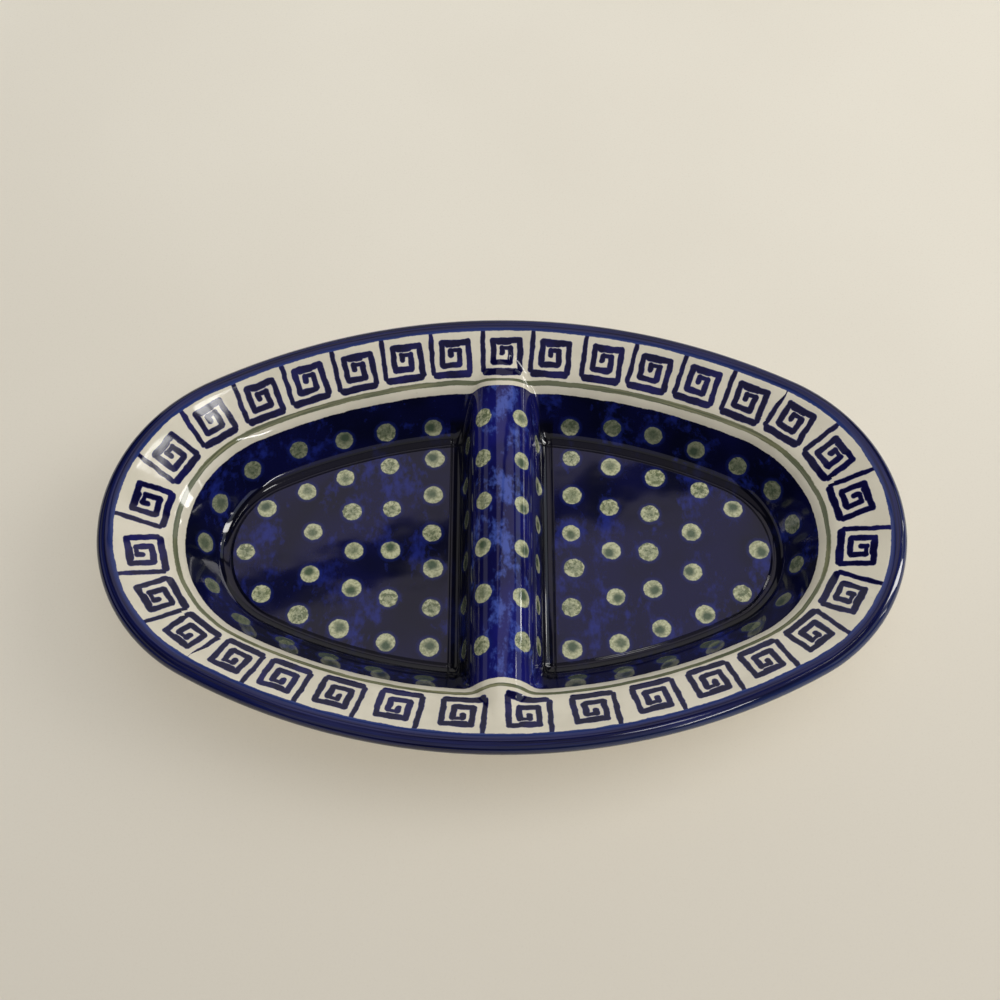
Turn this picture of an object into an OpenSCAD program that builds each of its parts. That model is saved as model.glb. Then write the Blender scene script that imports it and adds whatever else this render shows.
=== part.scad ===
// Oval olive dish in glazed stoneware: two wells, a round ridge between them, a sloping flange and a foot.
// Its outlines are four-centre ovals: a small arc at each end and a large arc along each side.
// The origin is on the table, under the middle of the dish. X runs along the dish and Z is up.

/* [Rim] */
// Overall length, end to end
dish_length = 260; // [240:1:290]
// Overall width, side to side
dish_width = 156; // [148:1:170]
// Width of the rim in plan at the two ends, from the outer edge to the wells
rim_end_width = 24; // [21:0.5:28]
// Width of the rim in plan along the two sides, from the outer edge to the wells
rim_side_width = 21; // [19:0.5:24]
// Radius of the outer edge's two end arcs
rim_end_r = 60; // [54:0.5:66]
// Height of the top of the rim above the well floors
rim_rise = 25; // [23:0.5:32]
// Thickness of the rounded edge
lip_thick = 6; // [4.5:0.1:7]
// Width of the band along the edge, before the flange starts
lip_width = 5.6; // [5:0.1:7]
// Fall of the band from the top of the rim to the flange
lip_drop = 0.5; // [0.2:0.1:1.5]

/* [Wells] */
// Radius of the well edge's two end arcs
well_end_r = 42; // [38:0.5:47]
// Height of the well edge above the well floors
edge_rise = 16.5; // [14:0.5:18]
// Run of the wall in plan, from the well edge to the flat floor
wall_run = 15; // [12:0.5:18]
// Radius of the hollow corner between the wall and the floor
floor_fillet_r = 5; // [2:0.5:6]
// Thickness of the fired clay in the flange, the walls and the ridge
clay_thick = 5; // [4:0.1:6]
// Thickness of the floors
floor_thick = 5; // [4:0.1:7]

/* [Divider] */
// Height of the ridge's crest above the well floors
ridge_rise = 20.5; // [18:0.5:22]
// Radius of the ridge's round top
ridge_top_r = 10.5; // [8:0.5:12]
// Steepness of the ridge's flanks, in degrees
ridge_flank = 76; // [68:1:82]
// Radius of the hollow corner between the ridge and the floors
ridge_fillet_r = 4.5; // [2:0.5:6]
// Clay left between the hollow under the ridge and the inner side of the foot ring, in plan
hollow_end_gap = 0.5; // [0.2:0.1:2]

/* [Foot] */
// Height of the foot ring
foot_height = 3; // [2:0.5:5]
// Width of the foot ring
foot_width = 5; // [4:0.5:6]
// Set-back of the foot ring's outer side from the well edge, in plan
foot_inset = 11; // [10:0.5:12]

/* [Hidden] */

// Steps in a full turn round an oval, a multiple of 4, and degrees between the points of a small arc
oval_steps = 96;
arc_step = 10;

// Levels
floor_under = foot_height;
floor_top = floor_under + floor_thick;
rim_top = floor_top + rim_rise;
edge_z = floor_top + edge_rise;
flange_start_z = rim_top - lip_drop;

// An oval is [half length, half width, end radius, side radius].
function oval(length, width, end_r) =
    let (a = length / 2, b = width / 2)
    [a, b, end_r, (pow(a - end_r, 2) + b * b - end_r * end_r) / (2 * (b - end_r))];
rim_oval = oval(dish_length, dish_width, rim_end_r);
well_oval = oval(dish_length - 2 * rim_end_width, dish_width - 2 * rim_side_width, well_end_r);

// The point of an oval whose outward normal has the given angle, moved inwards by inset
function oval_point(o, angle, inset) =
    let (
        end_x = o[0] - o[2],
        side_y = o[3] - o[1],
        c = cos(angle),
        s = sin(angle),
        on_end = abs(s) * end_x < abs(c) * side_y
    )
    on_end
        ? [sign(c) * end_x + (o[2] - inset) * c, (o[2] - inset) * s]
        : [(o[3] - inset) * c, -sign(s) * side_y + (o[3] - inset) * s];

// Points of an arc, both ends included
function arc(centre, r, from, to) =
    let (n = ceil(abs(to - from) / arc_step))
    [for (i = [0:n]) let (a = from + (to - from) * i / n) centre + r * [cos(a), sin(a)]];

// Flange: its slope is worked out on the mean distance between the rim and the well edge.
flange_width = (rim_oval[0] - well_oval[0] + rim_oval[1] - well_oval[1]) / 2;
flange_angle = atan((flange_start_z - edge_z) / (flange_width - lip_width));
flange_drop = clay_thick / cos(flange_angle);

// Wall: a straight slope that meets the floor through its hollow corner.
wall_half_tan = edge_rise
    / (wall_run + sqrt(wall_run * wall_run - (2 * floor_fillet_r - edge_rise) * edge_rise));
wall_angle = 2 * atan(wall_half_tan);
wall_corner = wall_run - floor_fillet_r * wall_half_tan;
// Where the undersides of the flange and the wall meet, seen from the well edge
mitre_tilt = (flange_angle + wall_angle) / 2;
mitre_depth = clay_thick / cos((wall_angle - flange_angle) / 2);
mitre = [-mitre_depth * sin(mitre_tilt), edge_z - mitre_depth * cos(mitre_tilt)];
outside_corner = mitre[0] + (mitre[1] - floor_under) / tan(wall_angle);

// Ridge: a round top, straight flanks and a hollow corner at each floor.
ridge_centre_z = floor_top + ridge_rise - ridge_top_r;
ridge_corner = ridge_top_r / sin(ridge_flank) + (ridge_centre_z - floor_top) / tan(ridge_flank);
ridge_half = ridge_corner + ridge_fillet_r * tan(ridge_flank / 2);
ridge_half_length = rim_oval[1] - lip_width - clay_thick / 2;
hollow_r = ridge_top_r - clay_thick;
hollow_half_length = well_oval[1] - foot_inset - foot_width - hollow_end_gap;

glaze_blue = "#1b1f52";
glaze_cream = "#d8d1bd";
bare_clay = "#c9b79b";

// A section is a list of [oval, inset from it, height]. These two place its points on one of the ovals.
function on_rim(points) = [for (p = points) [rim_oval, p[0], p[1]]];
function on_well(points) = [for (p = points) [well_oval, p[0], p[1]]];

// Sweeps a section round the dish, from one normal angle to another. A full turn closes on itself, and any other
// turn ends in fans of triangles about the section's last point, which sees all the others.
module sweep(section, from = 0, to = 360) {
    m = len(section);
    steps = round(oval_steps * (to - from) / 360);
    full = to - from == 360;
    rows = full ? steps : steps + 1;
    points = [
        for (i = [0:rows - 1])
            for (p = section)
                concat(oval_point(p[0], from + (to - from) * i / steps, p[1]), p[2])
    ];
    sides = [
        for (i = [0:steps - 1])
            for (j = [0:m - 1])
                let (
                    k = (j + 1) % m,
                    a = i * m,
                    b = (i + 1) % rows * m
                )
                each [[a + j, a + k, b + k], [a + j, b + k, b + j]]
    ];
    ends = [
        for (j = [0:m - 3])
            let (b = steps * m)
            each [[m - 1, j + 1, j], [b + m - 1, b + j, b + j + 1]]
    ];
    polyhedron(points, full ? sides : concat(sides, ends));
}

// The plan of the wells, drawn in by inset
module well_plan(inset) {
    polygon([for (i = [0:oval_steps - 1]) oval_point(well_oval, i * 360 / oval_steps, inset)]);
}

// The wall's upper side, from the well edge down to the flat floor
wall_top = concat(
    [[0, edge_z]],
    arc([wall_run, floor_top + floor_fillet_r], floor_fillet_r, 270 - wall_angle, 270)
);

module wall_half() {
    sweep(
        on_well(concat(
            [mitre],
            wall_top,
            [[wall_run, floor_under], [outside_corner, floor_under]]
        )),
        -90,
        90
    );
}

module floor_half() {
    translate([0, 0, floor_under])
        linear_extrude(floor_thick)
            intersection() {
                well_plan(wall_run);
                translate([ridge_half, -dish_width / 2])
                    square([dish_length, dish_width]);
            }
}

// Everything under the flange and the wall on one side, behind the end of the ridge
module under_side() {
    turn = 360 / oval_steps * ceil(oval_steps / 12);
    sweep(
        concat(
            on_rim([[lip_width, -clay_thick], [lip_width, flange_start_z]]),
            on_well(wall_top),
            on_well([[wall_run, -clay_thick]])
        ),
        90 - turn,
        90 + turn
    );
}

// Points on the right of a section, from top to bottom, and the same points on the left
function both_sides(points) =
    concat(points, [for (i = [len(points) - 1:-1:0]) [-points[i][0], points[i][1]]]);

module ridge_section() {
    polygon(both_sides(concat(
        arc([0, ridge_centre_z], ridge_top_r, 90 - arc_step / 2, 90 - ridge_flank),
        arc([ridge_half, floor_top + ridge_fillet_r], ridge_fillet_r, 270 - ridge_flank, 270),
        [[ridge_half, floor_under]]
    )));
}

module hollow_section() {
    foot = hollow_r / sin(ridge_flank) + ridge_centre_z / tan(ridge_flank);
    polygon(both_sides(concat(
        arc([0, ridge_centre_z], hollow_r, 90 - arc_step / 2, 90 - ridge_flank),
        [[foot, 0]]
    )));
}

// A bar across the dish, with the section in its children
module crossbar(half_length) {
    rotate([90, 0, 0])
        linear_extrude(2 * half_length, center = true)
            children();
}

module rim_lip() {
    color(glaze_blue)
        sweep(on_rim(concat(
            [[lip_width, flange_start_z]],
            [[lip_width, flange_start_z - flange_drop]],
            arc([lip_thick / 2, rim_top - lip_thick / 2], lip_thick / 2, 270, 90)
        )));
}

module rim_flange() {
    color(glaze_cream)
        sweep(concat(
            on_rim([[lip_width, flange_start_z]]),
            on_well([[0, edge_z], mitre]),
            on_rim([[lip_width, flange_start_z - flange_drop]])
        ));
}

module right_wall() {
    color(glaze_blue)
        wall_half();
}

module left_wall() {
    color(glaze_blue)
        mirror([1, 0])
            wall_half();
}

module right_floor() {
    color(glaze_blue)
        floor_half();
}

module left_floor() {
    color(glaze_blue)
        mirror([1, 0])
            floor_half();
}

// The ridge runs level from wall to wall, and its ends die into the slope of the flange.
module divider() {
    color(glaze_blue)
        difference() {
            crossbar(ridge_half_length)
                ridge_section();
            for (turn = [0, 180])
                rotate(turn)
                    under_side();
            crossbar(hollow_half_length)
                hollow_section();
        }
}

module foot_ring() {
    color(bare_clay)
        linear_extrude(foot_height)
            difference() {
                well_plan(foot_inset);
                well_plan(foot_inset + foot_width);
            }
}

rim_lip();
rim_flange();
left_wall();
right_wall();
left_floor();
right_floor();
divider();
foot_ring();
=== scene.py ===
import math
import random

import bpy
import numpy as np
from mathutils import Matrix


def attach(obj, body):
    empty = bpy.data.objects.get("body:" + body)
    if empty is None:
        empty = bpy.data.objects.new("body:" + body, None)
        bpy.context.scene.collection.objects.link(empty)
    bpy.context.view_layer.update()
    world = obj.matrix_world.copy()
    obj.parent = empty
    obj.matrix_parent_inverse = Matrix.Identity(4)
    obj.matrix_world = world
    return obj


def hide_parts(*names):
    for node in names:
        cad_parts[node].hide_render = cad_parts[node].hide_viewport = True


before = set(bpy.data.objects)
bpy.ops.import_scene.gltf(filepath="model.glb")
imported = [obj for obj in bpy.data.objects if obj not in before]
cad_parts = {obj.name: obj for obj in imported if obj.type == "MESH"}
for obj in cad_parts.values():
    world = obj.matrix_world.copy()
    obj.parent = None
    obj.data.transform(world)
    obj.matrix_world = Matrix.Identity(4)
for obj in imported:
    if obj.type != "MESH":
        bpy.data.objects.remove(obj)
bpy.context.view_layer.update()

# Lengths are in millimetres until they reach Blender, and the shaders turn its metres back.
MM = 0.001
METRE = 1000
# Points nearer to each other than this, in metres, are welded.
WELD = 1e-6

# Levels above the table
FLOOR_Z = 8.0
EDGE_Z = 24.5
RIM_Z = 33.0
UNDER_Z = 3.0
CREST_Z = 28.5

# Edge of the dish: a round roll, and a crown that bends down into the flange
ROLL_R = 3.0
CROWN_R = 8.0
BAND_WIDTH = 5.6
BAND_LAP = 1.0
CROWN_BORDER = math.asin((BAND_WIDTH - ROLL_R) / CROWN_R)

# Well wall, its broad shoulder at the well edge and its hollow corner at the floor
SHOULDER_R = 15.0
FILLET_R = 5.0
WALL_RUN = 15.0
WALL_RISE = EDGE_Z - FLOOR_Z
WALL_SLOPE = 2 * math.atan(
    WALL_RISE / (WALL_RUN + math.sqrt(WALL_RUN ** 2 - (2 * FILLET_R - WALL_RISE) * WALL_RISE))
)
FLOOR_MARGIN = 16.0
WALL_SPLIT = 4.0
# Crease round the floors: how far it lies below them, and how wide its rise to the floor is
CREASE_DEPTH = 0.28
CREASE_WIDTH = 0.9

# Ridge between the wells
RIDGE_R = 10.5
RIDGE_FLANK = math.radians(76)
RIDGE_FILLET_R = 4.5
RIDGE_REACH = 18.0
HOLLOW_R = 5.5
HOLLOW_HALF = 40.5

# Underside: where the flange and the wall meet below, and where the wall reaches the foot
CLAY = 5.0
FOOT_INSET = 11.0
FOOT_WIDTH = 5.0
FOOT_ROUND = 0.7
UNDER_SLOPE = math.radians(25.3)
MITRE_TILT = (UNDER_SLOPE + WALL_SLOPE) / 2
MITRE_DEPTH = CLAY / math.cos((WALL_SLOPE - UNDER_SLOPE) / 2)
MITRE_OUT = MITRE_DEPTH * math.sin(MITRE_TILT)
MITRE_Z = EDGE_Z - MITRE_DEPTH * math.cos(MITRE_TILT)
OUTSIDE_CORNER = (MITRE_Z - UNDER_Z) / math.tan(WALL_SLOPE) - MITRE_OUT

# Paint heights, measured up the slope from the well edge: the floors, the wells' blue, the green line,
# the keys, the band, and two that show plain cream, on the underside and under the lip
FLOOR_PAINT = -30.0
BLUE_TOP = -3.9
LINE_HEIGHT = 0.0
KEY_BASE = 1.9
BAND_START = 17.5
BAND_END = BAND_START + 13.2
CREAM_PAINT = 1.5
UNDER_LIP_PAINT = BAND_START + 18

KEY_COUNT = 33
KEY_WIDTH = 14.4
KEY_HEIGHT = 15.6
# How the hand-set stamps drift from even spacing: sine and cosine shares of the run, for 1 to 4 waves
# round the dish
KEY_DRIFT = ((-0.008, -0.001), (0.001, 0.002), (-0.0015, -0.001), (0.0015, -0.0005))

DOT_R = 3.2
# Stamp coordinates that lie off every stroke and every dot
KEY_FAR = 60
DOT_FAR = 9

# Columns of the sheets that run round one side of the dish, from the ridge to the ridge
SIDE_COLUMNS = 165

chance = random.Random(12)


# The dish's outlines

def oval(length, width, end_r):
    """A four-centre oval: a small arc at each end and a large arc along each side."""
    a, b = length / 2, width / 2
    side_r = ((a - end_r) ** 2 + b * b - end_r * end_r) / (2 * (b - end_r))
    return {"end_x": a - end_r, "end_r": end_r, "side_y": side_r - b, "side_r": side_r}


RIM = oval(260, 156, 60)
WELL = oval(212, 114, 42)


def oval_point(o, angle, inset):
    """The point whose outward normal has this angle, moved inwards by inset."""
    c, s = np.cos(angle), np.sin(angle)
    on_end = np.abs(s) * o["end_x"] < np.abs(c) * o["side_y"]
    r = np.where(on_end, o["end_r"], o["side_r"]) - inset
    x = np.where(on_end, np.sign(c) * o["end_x"], 0.0) + r * c
    y = np.where(on_end, 0.0, -np.sign(s) * o["side_y"]) + r * s
    return x, y


def oval_inset(o, x, y):
    """How far inside the oval a point of the plan lies."""
    x, y = np.abs(x), np.abs(y)
    on_end = y * o["end_x"] < (x - o["end_x"]) * o["side_y"]
    from_end = o["end_r"] - np.hypot(x - o["end_x"], y)
    from_side = o["side_r"] - np.hypot(x, y + o["side_y"])
    return np.where(on_end, from_end, from_side)


def flange_slope(angle):
    """Slope of the flange, which is wider at the ends than along the sides."""
    rim, well = oval_point(RIM, angle, 0), oval_point(WELL, angle, 0)
    width = (rim[0] - well[0]) * np.cos(angle) + (rim[1] - well[1]) * np.sin(angle)
    slope = np.full_like(width, 0.55)
    for _ in range(6):
        drop = RIM_Z - CROWN_R * (1 - np.cos(slope)) - EDGE_Z
        slope = np.arctan2(drop, width - ROLL_R - CROWN_R * np.sin(slope))
    return slope


def smooth(t):
    """An even start and end for a share from 0 to 1."""
    return t * t * (3 - 2 * t)


def upper_point(kind, t, angle):
    """A point of the dish's upper side, as x, y, z and the paint height.

    t is an angle on the roll, an inset on the wall and the floor, and a share on the other kinds, from 0 to
    1, or on to 2 where the crown goes from the band into the flange."""
    slope = flange_slope(angle)
    shoulder = SHOULDER_R * np.tan((WALL_SLOPE - slope) / 2)
    if kind == "roll":
        x, y = oval_point(RIM, angle, ROLL_R + ROLL_R * math.cos(t))
        z = RIM_Z - ROLL_R + ROLL_R * math.sin(t) + 0 * slope
        paint = BAND_START + CROWN_R * CROWN_BORDER + ROLL_R * (t - math.pi / 2) + 0 * slope
    elif kind == "crown":
        lap = CROWN_BORDER - BAND_LAP / CROWN_R
        bend = lap * min(t, 1) + (slope - lap) * max(t - 1, 0)
        x, y = oval_point(RIM, angle, ROLL_R + CROWN_R * np.sin(bend))
        z = RIM_Z - CROWN_R * (1 - np.cos(bend))
        paint = BAND_START + CROWN_R * (CROWN_BORDER - bend)
    elif kind == "flange":
        top, foot = upper_point("crown", 2, angle), upper_point("shoulder", 0, angle)
        x, y, z, paint = (a + (b - a) * t for a, b in zip(top, foot))
    elif kind == "shoulder":
        bend = slope + t * (WALL_SLOPE - slope)
        inset = SHOULDER_R * (np.sin(bend) - np.sin(slope)) - shoulder * np.cos(slope)
        x, y = oval_point(WELL, angle, inset)
        z = EDGE_Z + shoulder * np.sin(slope) + SHOULDER_R * (np.cos(bend) - np.cos(slope))
        paint = shoulder - SHOULDER_R * (bend - slope)
    elif kind == "wall":
        inset = t + 0 * slope
        x, y = oval_point(WELL, angle, inset)
        z = EDGE_Z - inset * math.tan(WALL_SLOPE)
        paint = -inset / math.cos(WALL_SLOPE)
    elif kind == "fillet":
        bend = WALL_SLOPE * (1 - t) + 0 * slope
        inset = WALL_RUN - FILLET_R * np.sin(bend)
        x, y = oval_point(WELL, angle, inset)
        z = FLOOR_Z + FILLET_R * (1 - np.cos(bend)) - CREASE_DEPTH * t * t
        paint = -inset / math.cos(WALL_SLOPE)
    elif kind == "crease":
        x, y = oval_point(WELL, angle, WALL_RUN + t * CREASE_WIDTH + 0 * slope)
        z = FLOOR_Z - CREASE_DEPTH * (1 - smooth(t)) + 0 * slope
        paint = -WALL_RUN / math.cos(WALL_SLOPE) + 0 * slope
    else:
        x, y = oval_point(WELL, angle, t + 0 * slope)
        z = FLOOR_Z + 0 * slope
        paint = -t / math.cos(WALL_SLOPE) + 0 * slope
    return x, y, z, paint


def under_height(x, y):
    """Height of the underside of the flange, the wall and the floor."""
    inset = oval_inset(WELL, x, y)
    flange = EDGE_Z - inset * math.tan(UNDER_SLOPE) - CLAY / math.cos(UNDER_SLOPE)
    wall = MITRE_Z - (inset + MITRE_OUT) * math.tan(WALL_SLOPE)
    return np.where(inset < -MITRE_OUT, flange, np.maximum(wall, UNDER_Z))


LIP_STATIONS = (
    [("roll", math.radians(270 - 10 * k)) for k in range(19)]
    + [("crown", k / 4) for k in range(1, 5)]
)
FLANGE_STATIONS = (
    [("crown", 1 + k / 4) for k in range(4)]
    + [("flange", k / 11) for k in range(12)]
    + [("shoulder", k / 8) for k in range(1, 9)]
    + [("wall", WALL_SPLIT)]
)
FILLET_INSET = WALL_RUN - FILLET_R * math.sin(WALL_SLOPE)
WALL_STATIONS = (
    [("wall", WALL_SPLIT + (FILLET_INSET - WALL_SPLIT) * k / 7) for k in range(8)]
    + [("fillet", k / 9) for k in range(1, 10)]
    + [("crease", k / 5) for k in range(1, 6)]
    + [("floor", FLOOR_MARGIN)]
)


def angle_at(kind, t, x):
    """The normal angle, on the far side, at which a station's line passes over x."""
    # Straight across, x and the cosine are both 0, so their ratio is taken a hair beside it.
    hair = 1e-4
    angle = np.full_like(x, math.pi / 2)
    for _ in range(8):
        reach = upper_point(kind, t, angle - hair)[0] / np.cos(angle - hair)
        angle = np.arccos(x / reach)
    return angle


# Meshes

def select_only(piece):
    bpy.ops.object.select_all(action="DESELECT")
    piece.select_set(True)
    bpy.context.view_layer.objects.active = piece


def points_of(mesh):
    """A mesh's points, one row for each."""
    at = np.empty(len(mesh.vertices) * 3)
    mesh.vertices.foreach_get("co", at)
    return at.reshape(-1, 3)


def clay_sheet(name, points, paint):
    """A sheet of clay: a grid whose crossings are pulled to the given points, columns by rows."""
    columns, rows = points.shape[:2]
    bpy.ops.object.select_all(action="DESELECT")
    bpy.ops.mesh.primitive_grid_add(x_subdivisions=columns - 1, y_subdivisions=rows - 1, size=2)
    piece = bpy.context.active_object
    piece.name = name
    mesh = piece.data
    mesh.name = name
    at = points_of(mesh)
    column = np.rint((at[:, 0] + 1) / 2 * (columns - 1)).astype(int)
    row = np.rint((at[:, 1] + 1) / 2 * (rows - 1)).astype(int)
    mesh.vertices.foreach_set("co", (points[column, row] * MM).ravel())
    layer = mesh.attributes.new("paint", "FLOAT", "POINT")
    layer.data.foreach_set("value", paint[column, row])
    mesh.update()
    return piece


def weld(piece):
    """Merges the points that meet and turns every face outwards."""
    select_only(piece)
    bpy.ops.object.mode_set(mode="EDIT")
    bpy.ops.mesh.select_all(action="SELECT")
    bpy.ops.mesh.remove_doubles(threshold=WELD)
    bpy.ops.mesh.normals_make_consistent(inside=False)
    bpy.ops.object.mode_set(mode="OBJECT")


def thicken(piece, thickness):
    """Gives a sheet its thickness, downwards from its upper side."""
    if piece.data.polygons[0].normal.z < 0:
        piece.data.flip_normals()
    select_only(piece)
    clay = piece.modifiers.new("thickness", "SOLIDIFY")
    clay.thickness = thickness * MM
    clay.offset = -1
    bpy.ops.object.modifier_apply(modifier=clay.name)


def close_seams(piece):
    """Welds the edges that meet, fills the open ends and turns every face outwards."""
    select_only(piece)
    bpy.ops.object.mode_set(mode="EDIT")
    bpy.ops.mesh.select_all(action="SELECT")
    bpy.ops.mesh.remove_doubles(threshold=WELD)
    bpy.ops.mesh.select_all(action="DESELECT")
    bpy.ops.mesh.select_mode(type="EDGE")
    bpy.ops.mesh.select_non_manifold(extend=False)
    bpy.ops.mesh.edge_face_add()
    bpy.ops.mesh.select_mode(type="VERT")
    bpy.ops.mesh.select_all(action="SELECT")
    bpy.ops.mesh.normals_make_consistent(inside=False)
    bpy.ops.object.mode_set(mode="OBJECT")


def finish_piece(piece, material, slot, *nodes):
    """Smooths and glazes a piece, and puts it in the place of its CAD nodes."""
    select_only(piece)
    bpy.ops.object.shade_smooth_by_angle(angle=math.radians(32))
    piece.data.materials.append(material)
    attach(piece, "root")
    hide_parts(*nodes)


def swept(name, stations, under, angles):
    """A closed ring or arc: the upper stations, then points under them, swept along the angles.

    angles has one column of normal angles for each upper station, and under makes the lower points, as
    (x, y, z, paint), from the upper ones."""
    top = [upper_point(kind, t, angles[:, k]) for k, (kind, t) in enumerate(stations)]
    loop = top + under(top) + [top[0]]
    points = np.stack([np.stack(p[:3], axis=-1) for p in loop], axis=1)
    paint = np.stack([p[3] for p in loop], axis=1)
    return clay_sheet(name, points, paint)


def below(point, paint=CREAM_PAINT):
    """The point of the underside straight below an upper point, in plain cream."""
    x, y = point[:2]
    return x, y, under_height(x, y), np.full_like(x, paint)


# Places of the stamps

def stamp(point, along, up, turn=0.0, size=1.0):
    """A stamp's place: its middle, the two directions that its pattern is measured along, and its mood."""
    along, up = np.array(along, float), np.array(up, float)
    along /= np.linalg.norm(along)
    up -= along * up.dot(along)
    up /= np.linalg.norm(up)
    c, s = math.cos(turn), math.sin(turn)
    return np.array(point, float), (along * c + up * s) / size, (up * c - along * s) / size, chance.random()


def upper_xyz(kind, t, angle):
    return np.array([v.item() for v in upper_point(kind, t, np.array([angle]))[:3]])


def run_along(x, y):
    """The length of a line in plan, from its start to each of its points."""
    return np.concatenate([[0], np.cumsum(np.hypot(np.diff(x), np.diff(y)))])


def key_stamps():
    """The key stamps, one after the other round the flange from the middle of the far side, clockwise."""
    turn = np.linspace(math.pi / 2, -1.5 * math.pi, 1441)
    x, y = upper_point("flange", 0.5, turn)[:2]
    run = run_along(x, y)
    places = []
    for k in range(KEY_COUNT):
        part = k / KEY_COUNT
        for waves, (sine, cosine) in enumerate(KEY_DRIFT, 1):
            wave = 2 * math.pi * waves * k / KEY_COUNT
            part += sine * math.sin(wave) + cosine * math.cos(wave)
        angle = float(np.interp(part * run[-1] + chance.uniform(-0.4, 0.4), run, turn))
        top, foot = (upper_point("flange", end, np.array([angle])) for end in (0, 1))
        middle = KEY_BASE + KEY_HEIGHT / 2 + chance.uniform(-0.25, 0.25)
        share = float(((top[3] - middle) / (top[3] - foot[3])).item())
        along = upper_xyz("flange", share, angle - 0.01) - upper_xyz("flange", share, angle + 0.01)
        up = upper_xyz("flange", 0, angle) - upper_xyz("flange", 1, angle)
        tilt = math.radians(chance.uniform(-1.5, 1.5))
        places.append(stamp(upper_xyz("flange", share, angle), along, up, tilt))
    return places


def dot(point, along, up):
    """A dot's place, turned at random and a little larger or smaller than the others."""
    return stamp(point, along, up, chance.uniform(0, 6.28), DOT_R * chance.uniform(0.94, 1.06))


def floor_dots(side):
    """Rows of dots across a floor, spread evenly between the walls, some bent towards the ridge."""
    margin = 19.9
    across = np.linspace(50, 0, 501)
    places = []
    for x, bend, count in ((23.3, 0, 6), (38, 1, 5), (53, 3.5, 5), (67, 4, 4), (79.3, 0, 2), (85.7, 0, 1)):
        reach = np.interp(margin, oval_inset(WELL, x, across), across)
        for k in range(count):
            part = 0 if count == 1 else 1 - 2 * k / (count - 1)
            here = side * (x - bend * (1 - part * part))
            place = (here + chance.uniform(-0.9, 0.9), reach * part + chance.uniform(-0.9, 0.9), FLOOR_Z)
            places.append(dot(place, (1, 0, 0), (0, 1, 0)))
    return places


def wall_dots(side, count):
    """One row of dots along a wall, from one end of the ridge to the other."""
    inset = 7.7
    start = math.acos(24 / (WELL["side_r"] - inset))
    turn = np.linspace(start, -start, 601)
    run = run_along(*oval_point(WELL, turn, inset))
    places = []
    for k in range(count):
        angle = float(np.interp(run[-1] * k / (count - 1) + chance.uniform(-0.8, 0.8), run, turn))
        here = inset + chance.uniform(-0.5, 0.5) + 1.4 * max(0, 1 - k / 3)
        mirror = np.array([side, 1, 1])
        point = upper_xyz("wall", here, angle) * mirror
        along = (upper_xyz("wall", here, angle - 0.01) - upper_xyz("wall", here, angle + 0.01)) * mirror
        up = (upper_xyz("wall", here - 1, angle) - upper_xyz("wall", here, angle)) * mirror
        places.append(dot(point, along, up))
    return places


def ridge_dots():
    """Two rows along the round top of the ridge, and one along each flank."""
    places = []
    for x, first, last in ((-6.3, 42, -41), (6.6, 41, -41), (-12, 38, -37), (12, 38, -37)):
        for k in range(6):
            y = first + (last - first) * k / 5 + chance.uniform(-0.8, 0.8)
            here = x + chance.uniform(-0.3, 0.3)
            z = ridge_height(np.array([abs(here)]))[0]
            rise = ridge_height(np.array([abs(here) - 0.1]))[0] - z
            places.append(dot((here, y, z), (0, 1, 0), (-math.copysign(0.1, x), 0, rise)))
    return places


def press(piece, layer, places, far):
    """Writes the nearest stamp's coordinates and mood on each face, and a far value on the underside."""
    mesh = piece.data
    loops, faces = len(mesh.loops), len(mesh.polygons)
    at = points_of(mesh) / MM
    corner = np.empty(loops, int)
    mesh.loops.foreach_get("vertex_index", corner)
    total = np.empty(faces, int)
    mesh.polygons.foreach_get("loop_total", total)
    centre, normal = np.empty(faces * 3), np.empty(faces * 3)
    mesh.polygons.foreach_get("center", centre)
    mesh.polygons.foreach_get("normal", normal)
    centre, normal = centre.reshape(-1, 3) / MM, normal.reshape(-1, 3)
    middles = np.array([p[0] for p in places])
    nearest = np.argmin(np.linalg.norm(centre[:, None] - middles[None], axis=2), axis=1)
    face = np.repeat(np.arange(faces), total)
    which = nearest[face]
    reach = at[corner] - middles[which]
    along, up = np.array([p[1] for p in places]), np.array([p[2] for p in places])
    uv = np.stack([(reach * along[which]).sum(1), (reach * up[which]).sum(1)], axis=1)
    uv[normal[face][:, 2] < 0.05] = far
    mesh.uv_layers.new(name=layer).data.foreach_set("uv", uv.ravel())
    mood = mesh.attributes.new(layer + "_mood", "FLOAT", "FACE")
    mood.data.foreach_set("value", np.array([p[3] for p in places])[nearest])


# Pieces

def rim_lip():
    turn = np.linspace(0, 2 * math.pi, 361)
    angles = np.repeat(turn[:, None], len(LIP_STATIONS), axis=1)

    def under(top):
        return [below(top[-1], UNDER_LIP_PAINT)]

    return swept("glazed_lip", LIP_STATIONS, under, angles)


def side_angles(stations, side):
    """Normal angles from one cut at the ridge to the other, evenly spread along each station's line."""
    cut = [float(angle_at(kind, t, np.array([RIDGE_REACH]))[0]) for kind, t in stations]
    joint = math.atan2(WELL["side_y"], WELL["end_x"])
    n = SIDE_COLUMNS // 3
    rows = []
    for start in cut:
        leg = np.linspace(start, joint, n + 1)[:-1]
        end = np.linspace(joint, -joint, SIDE_COLUMNS - 2 * n + 1)
        rows.append(np.concatenate([leg, end, -leg[::-1]]))
    angles = np.array(rows).T
    return angles if side > 0 else math.pi - angles


def under_line(inset, z, side):
    """A line of the underside in plain cream, cut at the ridge like the stations above it."""
    x, y = oval_point(WELL, side_angles([("floor", inset)], side)[:, 0], inset)
    return x, y, np.full_like(x, z), np.full_like(x, CREAM_PAINT)


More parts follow.
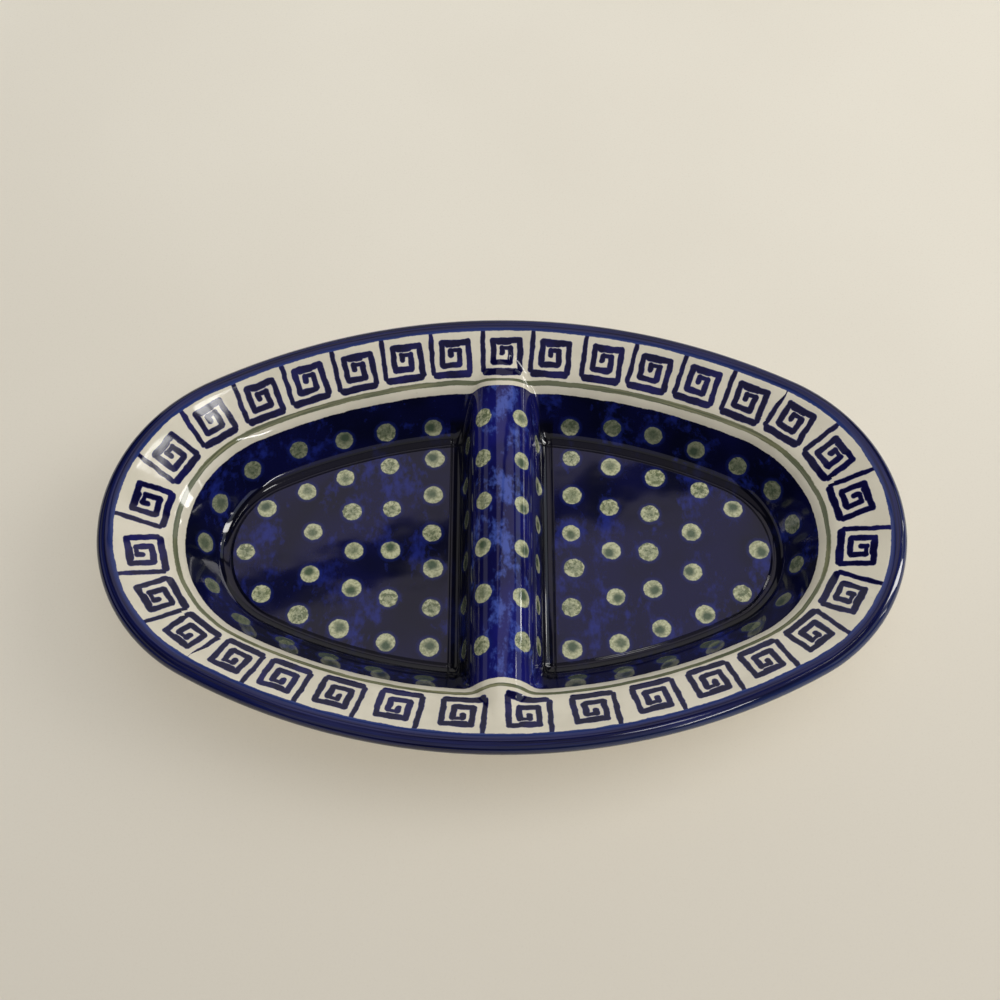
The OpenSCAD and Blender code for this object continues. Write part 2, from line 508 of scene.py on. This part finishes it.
def flange_side(side):
    angles = side_angles(FLANGE_STATIONS, side)

    def under(top):
        return [below(top[-1]), under_line(-MITRE_OUT, MITRE_Z, side), below(top[0])]

    return swept("glazed_flange", FLANGE_STATIONS, under, angles)


def rim_flange():
    """The flange on both sides of the ridge."""
    left, right = flange_side(-1), flange_side(1)
    for half in (left, right):
        close_seams(half)
    bpy.ops.object.select_all(action="DESELECT")
    left.select_set(True)
    right.select_set(True)
    bpy.context.view_layer.objects.active = right
    bpy.ops.object.join()
    right.name = "glazed_flange"
    return right


def well_wall(name, side):
    angles = side_angles(WALL_STATIONS, side)

    def under(top):
        return [below(top[-1]), under_line(OUTSIDE_CORNER, UNDER_Z, side), below(top[0])]

    return swept(name, WALL_STATIONS, under, angles)


def well_floor(name, side):
    """A floor whose columns run from the wall in to the middle line."""
    rows = 29
    angle = side_angles([("floor", FLOOR_MARGIN)], 1)[:, 0]
    x, y = upper_point("floor", FLOOR_MARGIN, angle)[:2]
    spine = np.minimum(x, WELL["end_x"])
    share = np.linspace(0, 1, rows)[None, :]
    points = np.stack([
        side * (x[:, None] + (spine - x)[:, None] * share),
        y[:, None] * (1 - share),
        np.full((len(x), rows), FLOOR_Z),
    ], axis=-1)
    piece = clay_sheet(name, points, np.full(points.shape[:2], FLOOR_PAINT))
    weld(piece)
    thicken(piece, FLOOR_Z - UNDER_Z)
    paint_underside(piece)
    return piece


def paint_underside(piece):
    """Plain cream below a floor."""
    mesh = piece.data
    layer = mesh.attributes["paint"].data
    for vertex in mesh.vertices:
        if vertex.co.z < (FLOOR_Z - 1) * MM:
            layer[vertex.index].value = CREAM_PAINT


def ridge_height(x):
    """The bare ridge: a round top and straight flanks."""
    top = np.sqrt(np.maximum(RIDGE_R ** 2 - x * x, 0))
    turn = RIDGE_R * math.sin(RIDGE_FLANK)
    flank = RIDGE_R * math.cos(RIDGE_FLANK) - (x - turn) * math.tan(RIDGE_FLANK)
    return CREST_Z - RIDGE_R + np.where(x < turn, top, flank)


def ridge_over(x, level, hollow_r):
    """The ridge blended into a surface at the given level: its crest lifts before the level gets there."""
    reach = 3.0
    over = level - CREST_Z
    lift = np.maximum(over, 0) + np.maximum(reach - np.abs(over), 0) ** 2 / (4 * reach)
    centre = CREST_Z - RIDGE_R + lift
    x = np.abs(x)
    rise = level + hollow_r - centre
    arc_x = np.sqrt(np.maximum((RIDGE_R + hollow_r) ** 2 - rise * rise, 0))
    corner = RIDGE_R / math.sin(RIDGE_FLANK) + (centre - level) / math.tan(RIDGE_FLANK)
    flank_x = corner + hollow_r * math.tan(RIDGE_FLANK / 2)
    on_flank = (rise < 0) | (arc_x > (RIDGE_R + hollow_r) * math.sin(RIDGE_FLANK))
    end = np.where(on_flank, flank_x, arc_x)
    flank_run = hollow_r * math.sin(RIDGE_FLANK)
    arc_run = hollow_r * arc_x / (RIDGE_R + hollow_r)
    start = end - np.where(on_flank, flank_run, arc_run)
    hollow = level + hollow_r - np.sqrt(np.maximum(hollow_r ** 2 - (end - x) ** 2, 0))
    z = np.where(x <= start, ridge_height(x) + lift, np.where(x < end, hollow, level))
    low = np.clip(1 - (level - FLOOR_Z) / 1.5, 0, 1)
    into = np.clip((x - start) / np.maximum(end - start, 1e-6), 0, 1)
    out = smooth(np.clip((x - end) / CREASE_WIDTH, 0, 1))
    return z - CREASE_DEPTH * low * into * into * (1 - out)


def divider():
    """The ridge with the strip of floor, wall and flange that it crosses, as a grid from lip to lip."""
    top = [RIDGE_R * math.sin(a) for a in np.linspace(0, RIDGE_FLANK, 23)]
    half = top + list(np.linspace(top[-1], RIDGE_REACH, 29)[1:])
    x = np.array([-v for v in half[:0:-1]] + half)
    stations = FLANGE_STATIONS + WALL_STATIONS[1:]
    rows = []
    for kind, t in stations:
        angle = angle_at(kind, t, np.abs(x))
        rows.append(upper_point(kind, t, angle)[1:])
    edge_y, edge_paint = rows[-1][0], rows[-1][2][0]
    flat, even = np.full_like(x, FLOOR_Z), np.full_like(x, edge_paint)
    strip = [(edge_y * s, flat, even) for s in np.linspace(1, -1, 61)[1:-1]]
    near = [(-y, z, paint) for y, z, paint in rows[::-1]]
    y, level, paint = (np.array(v) for v in zip(*(rows + strip + near)))
    # The hollow corner beside the ridge widens up the flange, and the cream laps down on to the crest.
    up_flange = np.clip((paint + 5) / 14, 0, 1)
    z = ridge_over(x[None, :], level, RIDGE_FILLET_R * (1 + up_flange))
    fade = smooth(np.clip((paint - 1) / 6, 0, 1))
    paint = paint + 2.9 * np.exp(-(x[None, :] / 8) ** 2) * (1 - fade)
    points = np.stack([np.broadcast_to(x, y.shape), y, z], axis=-1).transpose(1, 0, 2)
    piece = clay_sheet("glazed_ridge", points, paint.T)
    count = len(piece.data.vertices)
    thicken(piece, CLAY)
    level_underside(piece, count)
    return piece


def level_underside(piece, count):
    """Brings the lower skin of the ridge down to the dish's underside, with a hollow below the ridge."""
    mesh = piece.data
    at = points_of(mesh) / MM
    upper, lower = at[:count], at[count:]
    x, y = upper[:, 0], upper[:, 1]
    z = under_height(x, y)
    side = np.abs(x)
    turn = HOLLOW_R * math.sin(RIDGE_FLANK)
    arch = np.where(
        side < turn,
        np.sqrt(np.maximum(HOLLOW_R ** 2 - x * x, 0)),
        HOLLOW_R * math.cos(RIDGE_FLANK) - (side - turn) * math.tan(RIDGE_FLANK),
    )
    hollow = np.where(np.abs(y) < HOLLOW_HALF, CREST_Z - RIDGE_R + arch, 0)
    lower[:] = np.stack([x, y, np.maximum(z, hollow)], axis=-1)
    mesh.vertices.foreach_set("co", (at * MM).ravel())
    layer = mesh.attributes["paint"]
    paint = np.empty(len(mesh.vertices))
    layer.data.foreach_get("value", paint)
    paint[count:] = CREAM_PAINT
    layer.data.foreach_set("value", paint)
    mesh.update()


def foot_ring():
    """The bare ring: its section is spun round the oval's four centres."""
    outer, inner = FOOT_INSET, FOOT_INSET + FOOT_WIDTH
    section = [
        (outer, UNDER_Z),
        (outer, FOOT_ROUND),
        (outer + FOOT_ROUND, 0),
        (inner - FOOT_ROUND, 0),
        (inner, FOOT_ROUND),
        (inner, UNDER_Z),
    ]
    bpy.ops.object.select_all(action="DESELECT")
    bpy.ops.mesh.primitive_circle_add(vertices=len(section), radius=FOOT_WIDTH / 2 * MM)
    piece = bpy.context.active_object
    piece.name = "bare_foot"
    piece.data.name = "bare_foot"
    for vertex, (inset, z) in zip(piece.data.vertices, section):
        vertex.co = ((WELL["end_x"] + WELL["end_r"] - inset) * MM, 0, z * MM)
    end, side = WELL["end_x"] * MM, WELL["side_y"] * MM
    joint = math.atan2(WELL["side_y"], WELL["end_x"])
    legs = [
        ((end, 0), joint, 24),
        ((0, -side), math.pi - 2 * joint, 30),
        ((-end, 0), 2 * joint, 48),
        ((0, side), math.pi - 2 * joint, 30),
        ((end, 0), joint, 24),
    ]
    bpy.ops.object.mode_set(mode="EDIT")
    bpy.ops.mesh.select_all(action="SELECT")
    for (x, y), angle, steps in legs:
        bpy.ops.mesh.spin(steps=steps, angle=angle, center=(x, y, 0), axis=(0, 0, -1))
    bpy.ops.object.mode_set(mode="OBJECT")
    weld(piece)
    return piece


# Materials

class Value:
    """A socket of a material, so that shader maths reads as Python."""

    def __init__(self, finish, socket):
        self.finish, self.socket = finish, socket

    def math(self, operation, *others):
        return self.finish.node("Math", {"operation": operation}, self, *others)

    def __add__(self, other):
        return self.math("ADD", other)

    __radd__ = __add__

    def __sub__(self, other):
        return self.math("SUBTRACT", other)

    def __rsub__(self, other):
        return self.finish.node("Math", {"operation": "SUBTRACT"}, other, self)

    def __mul__(self, other):
        return self.math("MULTIPLY", other)

    __rmul__ = __mul__

    def __abs__(self):
        return self.math("ABSOLUTE")

    def high(self, other):
        return self.math("MAXIMUM", other)

    def root(self):
        return self.math("SQRT")

    def rise(self, start, end):
        """0 below start and 1 above end, or the other way round if start is the higher."""
        return self.finish.node(
            "MapRange", {"interpolation_type": "SMOOTHSTEP", "clamp": True}, self,
            **{"From Min": start, "From Max": end},
        )


class Finish:
    """A material and its shader."""

    def __init__(self, name, **constants):
        self.material = bpy.data.materials.new(name)
        self.material.use_nodes = True
        self.tree = self.material.node_tree
        self.shader = next(n for n in self.tree.nodes if n.type == "BSDF_PRINCIPLED")
        for key, value in constants.items():
            self.shader.inputs[key.replace("_", " ")].default_value = value

    def node(self, kind, settings=None, *inputs, out=0, **named):
        """A node of any kind, with its settings, and the values or links of its sockets by place or name."""
        made = self.tree.nodes.new("ShaderNode" + kind)
        for key, value in (settings or {}).items():
            setattr(made, key, value)
        for key, value in list(enumerate(inputs)) + list(named.items()):
            self.feed(made.inputs[key], value)
        return Value(self, made.outputs[out])

    def feed(self, socket, value):
        if isinstance(value, Value):
            self.tree.links.new(value.socket, socket)
        elif value is not None:
            socket.default_value = value

    def set(self, **links):
        """Feeds the shader's own sockets."""
        for key, value in links.items():
            self.feed(self.shader.inputs[key.replace("_", " ")], value)

    def place(self):
        return self.node("TexCoord", out="Object")

    def split(self, vector):
        first = self.node("SeparateXYZ", None, vector)
        return [Value(self, part) for part in first.socket.node.outputs]

    def pressed(self, layer):
        """The coordinates on the nearest stamp."""
        return self.split(self.node("UVMap", {"uv_map": layer}))[:2]

    def attribute(self, name):
        return self.node("Attribute", {"attribute_name": name}, out="Fac")

    def paint_height(self):
        return self.attribute("paint")

    def noise(self, scale, detail=2.0, roughness=0.5, at=None):
        grain = {"Scale": scale, "Detail": detail, "Roughness": roughness}
        return self.node("TexNoise", None, at or self.place(), **grain)

    def mix(self, share, a, b):
        """A blend of two colours, whose sockets come after five that are left alone."""
        return self.node("Mix", {"data_type": "RGBA"}, share, *[None] * 5, a, b, out=2)


def srgb(r, g, b):
    """A colour as read off a picture, 0 to 255, in linear light."""
    def linear(v):
        v /= 255
        return v / 12.92 if v <= 0.04045 else ((v + 0.055) / 1.055) ** 2.4
    return linear(r), linear(g), linear(b), 1.0


# The key's strokes on one stamp: where each middle line starts and ends, from the lower left, and half
# its width
KEY_STROKES = (
    ((0.8, 2.0), (0.8, 24.0), 0.9),
    ((1.95, 1.17), (12.7, 1.17), 1.3),
    ((13.5, 2.0), (13.5, 12.2), 1.05),
    ((4.35, 12.1), (13.4, 12.1), 1.15),
    ((6.2, 11.8), (9.8, 11.8), 1.25),
    ((4.3, 4.6), (4.3, 12.1), 1.05),
    ((4.6, 4.45), (9.8, 4.45), 1.1),
    ((10.2, 4.7), (10.2, 9.4), 1.05),
    ((7.2, 9.5), (10.1, 9.5), 0.8),
    ((7.25, 7.8), (7.25, 9.5), 1.0),
)


def cream_ground(f):
    cloud = f.noise(60, 3, 0.6)
    speck = f.noise(700, 2, 0.6)
    base = f.mix(cloud.rise(0.35, 0.7), srgb(216, 209, 190), srgb(206, 199, 180))
    return f.mix(speck.rise(0.66, 0.78) * 0.25, base, srgb(180, 170, 146))


def cobalt_ground(f, deep, wash, pale, share, cloud_scale=95, lift=0.0):
    """Sponged cobalt: a deep ground with a wash in it, and pale clouds where the colour lies thin."""
    x, y, z = f.split(f.place())
    at = f.node("CombineXYZ", None, x, y * 0.6, z)
    cloud = f.noise(cloud_scale, 4, 0.6, at)
    fine = f.noise(cloud_scale * 5.5, 3, 0.6, at)
    thin = (cloud * 0.72 + fine * 0.28 + lift).rise(0.53, 0.68)
    ground = f.mix(f.noise(45, 2).rise(0.35, 0.65), deep, wash)
    return f.mix(thin * share, ground, pale)


def corner_shade(f, ground, share):
    """Painted shade in a hollow corner: the ground darkened almost to black, standing in for the dark
    reflection there.
    """
    return f.mix(share * 0.85, ground, srgb(10, 10, 15))


def wall_corner_shade(paint):
    """Where painted shade darkens the hollow corner between a wall and a floor."""
    return paint.rise(-19.2, -20.2) * paint.rise(-26.0, -25.0)


def well_ground(f):
    ground = cobalt_ground(f, srgb(8, 10, 32), srgb(12, 14, 54), srgb(32, 44, 128), 0.66, lift=0.02)
    # Painted shade: the hollow corner round the floor goes near black.
    return corner_shade(f, ground, wall_corner_shade(f.paint_height()))


def ridge_sides(f):
    """How far down the ridge's left and right flanks a point is; the left one starts nearer the crest, for
    painted shade on the flank that faces away from the light.
    """
    x = f.split(f.place())[0] * METRE
    return x.rise(-8.5, -11.5), x.rise(11.8, 13.5)


def ridge_ground(f):
    """The ridge's cobalt, thinnest along its crest, with painted shade down its flanks: the wells' darker
    cobalt there, reaching higher up the left flank, and near-black painted shade in the hollow corners at
    its foot.
    """
    x, _, z = f.split(f.place())
    crest = abs(x * METRE - 1).rise(7, 1) * 0.07
    top = cobalt_ground(f, srgb(15, 15, 62), srgb(23, 24, 98), srgb(72, 92, 174), 0.7, 170, crest)
    left, right = ridge_sides(f)
    across = abs(x * METRE)
    # Painted shade: the hollow corners at the ridge's foot go near black.
    corner = across.rise(12.2, 13.4) * across.rise(18.2, 17.6) * (z * METRE).rise(15, 12)
    return corner_shade(f, f.mix(left + right, top, well_ground(f)), corner)


def band_ground(f, paint):
    """The brushed band: streaks along the edge, a thin wash at the cream, and a painted reflection of paler
    blue outside on the right.
    """
    x, y = f.split(f.place())[:2]
    along = f.node("CombineXYZ", None, x * 25, y * 25, paint * 1.3)
    streak = f.noise(1.0, 3, 0.65, along)
    base = f.mix(streak.rise(0.35, 0.68), srgb(13, 14, 46), srgb(25, 31, 80))
    # Painted reflection: the band's outer edge on the right is paler, as if mirroring a bright surface
    # there.
    outer = paint.rise(BAND_START + 3.5, BAND_START + 7.5) * x.rise(-0.03, 0.09)
    base = f.mix(outer * 0.6, base, srgb(64, 84, 130))
    edge = paint.rise(BAND_START + 1.9, BAND_START - 0.2)
    return f.mix(edge * 0.6, base, srgb(52, 72, 136))


def key_ink(f):
    """How deep inside a stroke of the key a point lies, in millimetres, negative outside."""
    u, v = f.pressed("key")
    x = u + KEY_WIDTH / 2 + (f.noise(280, 2, 0.5) - 0.5) * 1.1
    moved = f.node("VectorMath", {"operation": "ADD"}, f.place(), (0.31, 0.17, 0.23))
    y = v + KEY_HEIGHT / 2 + (f.noise(280, 2, 0.5, moved) - 0.5) * 1.1
    depth = None
    for (left, bottom), (right, top), half in KEY_STROKES:
        across, up = abs(x - (left + right) / 2), abs(y - (bottom + top) / 2)
        if right > left:
            across = (across - (right - left) / 2).high(0)
        if top > bottom:
            up = (up - (top - bottom) / 2).high(0)
        stroke = half - (across * across + up * up).root()
        depth = stroke if depth is None else depth.high(stroke)
    return depth - y.rise(13.5, 15.5) * 0.12


def dot_colours(f, ground, shade):
    """Pale green dots over the ground, each with a soft blot or a speckle, darkened by painted shade where
    shade says.
    """
    u, v = f.pressed("dot")
    mood = f.attribute("dot_mood")
    ragged = (f.noise(650, 2, 0.5) - 0.5) * 0.24
    reach = (u * u + v * v).root() + ragged
    halo = reach.rise(1.5, 1.0)
    ground = f.mix(halo * 0.4, ground, srgb(28, 40, 112))
    grain = f.noise(1200, 3, 0.65)
    pale = f.mix(grain.rise(0.36, 0.6), srgb(146, 150, 116), srgb(190, 190, 154))
    speckle = f.noise(800, 2, 0.6).rise(0.53, 0.4) * mood.rise(0.5, 0.36)
    colour = f.mix(speckle * 0.75, pale, srgb(86, 96, 64))
    blot_u = u + mood * 0.55 - 0.15
    blot = ((blot_u * blot_u + v * v).root() + ragged * 1.5).rise(0.85, 0.25)
    colour = f.mix(blot * (mood.rise(0.3, 0.7) * 0.5 + 0.42), colour, srgb(58, 78, 58))
    # Painted shade: dots in shade are darkened towards a dull green.
    colour = f.mix(shade, colour, srgb(54, 65, 54))
    return f.mix(reach.rise(1.04, 0.94) * 0.97, ground, colour)


def glaze_relief(f):
    """The glaze's soft waves, and fine pits."""
    wave = f.noise(45, 2, 0.5) + f.noise(900, 2, 0.5) * 0.005
    return f.node("Bump", None, Strength=0.12, Distance=0.0012, Height=wave)


def glazed(name):
    return Finish(name, Roughness=0.06, IOR=1.52)


def brush_wobble(f):
    """How far a brushed border strays, in millimetres."""
    return (f.noise(140, 2, 0.5) - 0.5) * 0.9 + (f.noise(900, 2) - 0.5) * 0.35


def band_glaze():
    f = glazed("blue_band_glaze")
    paint = f.paint_height()
    wobble = brush_wobble(f)
    upper = (paint + wobble).rise(BAND_START - 0.12, BAND_START + 0.12)
    lower = (paint + wobble * 2).rise(BAND_END + 0.2, BAND_END - 0.2)
    f.set(Base_Color=f.mix(upper * lower, cream_ground(f), band_ground(f, paint)))
    f.set(Normal=glaze_relief(f))
    return f.material


def rim_colours(f, inner):
    """Cream with the green line and the key frieze, the band above it and the well's colour below it."""
    paint = f.paint_height()
    wobble = brush_wobble(f)
    colour = cream_ground(f)
    x, y = f.split(f.place())[:2]
    brush = f.noise(1.0, 3, 0.6, f.node("CombineXYZ", None, x * 60, y * 60, paint * 1.5))
    line = (abs(paint + wobble * 0.8 - LINE_HEIGHT) + (brush - 0.5) * 0.6).rise(1.0, 0.75)
    green = f.mix(brush.rise(0.35, 0.62), srgb(68, 75, 46), srgb(120, 121, 87))
    green = f.mix(f.noise(22, 2).rise(0.5, 0.62) * 0.6, green, srgb(58, 72, 47))
    colour = f.mix(line * 0.92, colour, green)
    depth = key_ink(f)
    ink = f.mix(depth.rise(0.0, 0.4), srgb(34, 40, 100), srgb(13, 12, 48))
    ink = f.mix(f.noise(90, 2).rise(0.45, 0.7) * f.attribute("key_mood"), ink, srgb(27, 27, 86))
    colour = f.mix(depth.rise(-0.1, 0.12) * paint.rise(-1.0, -0.6), colour, ink)
    band = (paint + wobble).rise(BAND_START - 0.12, BAND_START + 0.12)
    colour = f.mix(band, colour, band_ground(f, paint))
    well = (paint + wobble).rise(BLUE_TOP + 0.15, BLUE_TOP - 0.15)
    return f.mix(well, colour, inner)


def stamped_glaze():
    f = glazed("stamped_rim_glaze")
    f.set(Base_Color=rim_colours(f, well_ground(f)), Normal=glaze_relief(f))
    return f.material


def ridge_glaze():
    f = glazed("blue_ridge_glaze")
    # Painted shade: the dots on the ridge's left flank are darkened.
    inner = dot_colours(f, ridge_ground(f), ridge_sides(f)[0] * 0.6)
    f.set(Base_Color=rim_colours(f, inner), Normal=glaze_relief(f))
    return f.material


def well_glaze():
    f = glazed("blue_well_glaze")
    below_edge = f.paint_height().rise(BLUE_TOP + 0.15, BLUE_TOP - 0.15)
    y, z = f.split(f.place())[1:]
    # Painted shade: dots up the walls are darkened, most on the near wall, which faces away from the light.
    up_wall = (z * METRE).rise(FLOOR_Z + 1.5, FLOOR_Z + 4.5)
    near = (y * METRE).rise(-10, -35)
    inner = dot_colours(f, well_ground(f), up_wall * (near * 0.32 + 0.6))
    f.set(Base_Color=f.mix(below_edge, cream_ground(f), inner), Normal=glaze_relief(f))
    return f.material


def bare_clay():
    f = Finish("bare_clay", IOR=1.45)
    grain = f.noise(1500, 3, 0.7)
    cloud = f.noise(90, 3, 0.6)
    colour = f.mix(cloud.rise(0.35, 0.65), srgb(196, 176, 146), srgb(178, 156, 124))
    f.set(Base_Color=f.mix(grain.rise(0.58, 0.7) * 0.6, colour, srgb(128, 104, 78)))
    relief = f.node("Bump", None, Strength=0.5, Distance=0.0004, Height=grain)
    f.set(Roughness=grain * 0.2 + 0.7, Normal=relief)
    return f.material


def table_top():
    f = Finish("pale_cloth", Roughness=0.85)
    cloud = f.noise(4, 3, 0.5)
    grain = f.noise(1400, 2, 0.6)
    # Painted light: the cloth is made paler towards the back, where more light falls.
    far = f.split(f.place())[1].rise(-0.25, 0.3)
    base = f.mix(far, srgb(212, 205, 191), srgb(235, 229, 214))
    worn = f.mix(cloud.rise(0.3, 0.7) * 0.3, base, srgb(211, 203, 187))
    f.set(Base_Color=f.mix(grain.rise(0.5, 0.8) * 0.2, worn, srgb(200, 191, 174)))
    return f.material


# Dish

well, ridge, stamped = well_glaze(), ridge_glaze(), stamped_glaze()

lip = rim_lip()
close_seams(lip)
finish_piece(lip, band_glaze(), "blue_lip", "rim_lip")

keys = key_stamps()
flange = rim_flange()
press(flange, "key", keys, KEY_FAR)
finish_piece(flange, stamped, "stamped_rim", "rim_flange")

for name, side, count in (("left", -1, 13), ("right", 1, 14)):
    dots = floor_dots(side) + wall_dots(side, count)
    wall = well_wall("glazed_" + name + "_wall", side)
    close_seams(wall)
    floor = well_floor("glazed_" + name + "_floor", side)
    for piece, node in ((wall, name + "_wall"), (floor, name + "_floor")):
        press(piece, "dot", dots, DOT_FAR)
        finish_piece(piece, well, "blue_well", node)

ridge_piece = divider()
press(ridge_piece, "key", keys, KEY_FAR)
press(ridge_piece, "dot", ridge_dots(), DOT_FAR)
finish_piece(ridge_piece, ridge, "blue_ridge", "divider")

finish_piece(foot_ring(), bare_clay(), "bare_foot", "foot_ring")


# Stage, light and camera

bpy.ops.object.select_all(action="DESELECT")
bpy.ops.mesh.primitive_plane_add(size=24)
table = bpy.context.active_object
table.name = "table"
table.data.materials.append(table_top())


def soft_light(name, place, rotation, size, radiance, colour, mirrored=True, shadows=True):
    """A soft rectangle of light, which shows in the glaze if mirrored, or else only lights the paint."""
    bpy.ops.object.light_add(type="AREA", location=place, rotation=rotation)
    lamp = bpy.context.active_object
    lamp.name = name
    lamp.data.shape = "RECTANGLE"
    lamp.data.size, lamp.data.size_y = size
    lamp.data.energy = radiance * math.pi * size[0] * size[1]
    lamp.data.color = colour
    lamp.data.use_shadow = shadows
    lamp.visible_glossy = mirrored
    lamp.visible_diffuse = not mirrored


def towards_dish(azimuth, elevation, distance, roll=0):
    """Place and turn of a light that faces the dish, by degrees round from +X and degrees of height."""
    a, e = math.radians(azimuth), math.radians(elevation)
    out = distance * math.cos(e)
    place = (out * math.cos(a), out * math.sin(a), distance * math.sin(e))
    turn = Matrix.Rotation(a + math.pi / 2, 3, "Z") @ Matrix.Rotation(math.pi / 2 - e, 3, "X")
    return place, (turn @ Matrix.Rotation(math.radians(roll), 3, "Z")).to_euler()


WARM = (1.0, 0.97, 0.92)
LILAC = (0.96, 0.88, 1.0)
DAY = (1.0, 0.99, 0.97)
SKY = (0.84, 0.92, 1.0)

# Windows: a tall one, a slit beside it, two small ones, a streak of sky, a near one and a skylight of four
# panes
soft_light("window_tall", *towards_dish(10, 29, 1.55, -7), (0.22, 0.9), 14, WARM)
soft_light("window_slit", *towards_dish(-5.5, 20, 1.55), (0.03, 0.45), 10, WARM)
soft_light("window_small", *towards_dish(25.3, 38.3, 1.55), (0.035, 0.05), 14, WARM)
soft_light("window_low", *towards_dish(23.6, 18.8, 1.55), (0.07, 0.1), 14, WARM)
soft_light("sky_streak", *towards_dish(16.6, 65, 2.0, -32), (0.45, 0.02), 14, DAY)
soft_light("window_near", *towards_dish(-54, 34, 1.55, 53), (0.64, 0.06), 18, DAY)
for across in (-1, 1):
    for up in (-1, 1):
        name = "skylight_" + ("left" if across < 0 else "right") + ("_low" if up < 0 else "_high")
        soft_light(name, *towards_dish(-39 + 6.3 * across, 71.5 + 1.1 * up, 2.0), (0.13, 0.07), 12, DAY)

# The ceiling is two panels with a dark slanting gap between them, and the room's other walls are dim.
slant = math.radians(19)
for name, offset, depth in (("ceiling_far", 0.5, 0.9), ("ceiling_near", -0.24, 0.4)):
    place = (0.65 - offset * math.sin(slant), 1.255 + offset * math.cos(slant), 2.0)
    soft_light(name, place, (0, 0, slant), (2.6, depth), 0.62, LILAC)
soft_light("overhead", (0, -0.45, 2.0), (0, 0, 0), (2.4, 1.4), 0.22, LILAC)
soft_light("backdrop", (0, 2.2, 1.1), (math.pi / 2, 0, math.pi), (3.2, 1.6), 0.45, WARM)
soft_light("wall_right", *towards_dish(0, 30, 2.4), (3.0, 0.8), 0.8, SKY)
soft_light("wall_left", *towards_dish(180, 30, 2.4), (3.0, 0.7), 0.36, WARM)
soft_light("wall_near", *towards_dish(-90, 40, 2.4), (3.0, 1.5), 0.36, WARM)

# What lights the dish from above and from the right without showing in the glaze
soft_light("daylight", (0.6, 0.2, 2.3), (0, 0, 0), (2.2, 2.0), 2.75, DAY, mirrored=False, shadows=False)
soft_light("side", *towards_dish(10, 38, 1.8), (1.2, 1.0), 2.3, DAY, mirrored=False)

world = bpy.data.worlds.new("room")
bpy.context.scene.world = world
world.use_nodes = True
room_light = world.node_tree.nodes["Background"].inputs
room_light["Color"].default_value = (0.96, 0.97, 1.0, 1)
room_light["Strength"].default_value = 0.27
world.cycles_visibility.glossy = False

camera = bpy.data.objects.new("camera", bpy.data.cameras.new("camera"))
bpy.context.scene.collection.objects.link(camera)
camera.data.sensor_width = 36
camera.data.lens = 52.2
camera.location = (-0.0006, -0.2144, 0.4451)
camera.rotation_euler = (math.radians(28.15), 0, 0)
bpy.context.scene.camera = camera
bpy.context.scene.view_settings.view_transform = "Standard"
